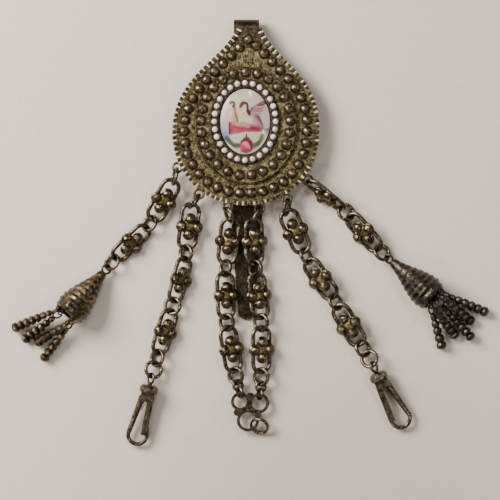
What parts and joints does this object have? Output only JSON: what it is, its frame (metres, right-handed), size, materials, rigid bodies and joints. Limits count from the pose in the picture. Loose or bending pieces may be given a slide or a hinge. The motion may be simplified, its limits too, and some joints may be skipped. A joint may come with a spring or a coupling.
{
  "type": "chatelaine",
  "caption": "Pear-shaped cut-steel plaque with a painted enamel oval and a belt hook behind, from which studded chains hang to tassels, swivel clips and a key ring.",
  "frame": {"origin": "back of the belt hook where it lies on the table, under the middle of the plaque's ovals", "axes": "+Z out of the plaque's face, +Y up the plaque, +X to its right as seen from the front"},
  "size_m": [0.1627, 0.1452, 0.0125],
  "materials": {
    "aged_gilt_steel": "worn gilding over dark steel",
    "cut_steel": "polished facets with brown tarnish",
    "link_steel": "darkened steel wire, bright where it rubs",
    "painted_enamel": "glossy painted enamel",
    "white_glass_beads": "glossy opaque white"
  },
  "bodies": {
    "plaque_and_chains": {"plaque": "aged_gilt_steel", "raised_oval": "aged_gilt_steel", "bezel": "aged_gilt_steel", "enamel": "painted_enamel", "white_beads": "white_glass_beads", "outer_studs": "cut_steel", "inner_studs": "cut_steel", "outer_left_chain": "link_steel", "left_chain": "link_steel", "centre_left_chain": "link_steel", "centre_right_chain": "link_steel", "right_chain": "link_steel", "outer_right_chain": "link_steel", "left_tassel_cap": "cut_steel", "left_drop_1": "cut_steel", "left_drop_2": "cut_steel", "left_drop_3": "cut_steel", "left_drop_4": "cut_steel", "right_tassel_cap": "cut_steel", "right_drop_1": "cut_steel", "right_drop_2": "cut_steel", "right_drop_3": "cut_steel", "right_drop_4": "cut_steel", "right_drop_5": "cut_steel", "connector": "aged_gilt_steel", "key_ring": "link_steel", "left_swivel_eye": "link_steel", "right_swivel_eye": "link_steel"},
    "left_clip": {"left_clip": "link_steel", "left_gate_spring": "link_steel"},
    "left_gate": {"left_gate": "link_steel"},
    "right_clip": {"right_clip": "link_steel", "right_gate_spring": "link_steel"},
    "right_gate": {"right_gate": "link_steel"}
  },
  "joints": [
    {"name": "left_swivel", "type": "hinge", "parent": "plaque_and_chains", "child": "left_clip", "pos_m": [-0.03322, -0.09058, 0.00374], "axis": [-0.1815, -0.9795, -0.0872], "continuous": true},
    {"name": "left_gate_pin", "type": "hinge", "parent": "left_clip", "child": "left_gate", "pos_m": [-0.03249, -0.0938, 0.00348], "axis": [0.0159, 0.0857, -0.9962], "range_deg": [-4, 6], "stiffness_Nm_per_rad": 0.001},
    {"name": "right_swivel", "type": "hinge", "parent": "plaque_and_chains", "child": "right_clip", "pos_m": [0.04494, -0.08638, 0.00372], "axis": [0.4115, -0.9072, -0.0872], "continuous": true},
    {"name": "right_gate_pin", "type": "hinge", "parent": "right_clip", "child": "right_gate", "pos_m": [0.04501, -0.08969, 0.00345], "axis": [0.036, -0.0794, 0.9962], "range_deg": [0, 10], "stiffness_Nm_per_rad": 0.001}
  ]
}
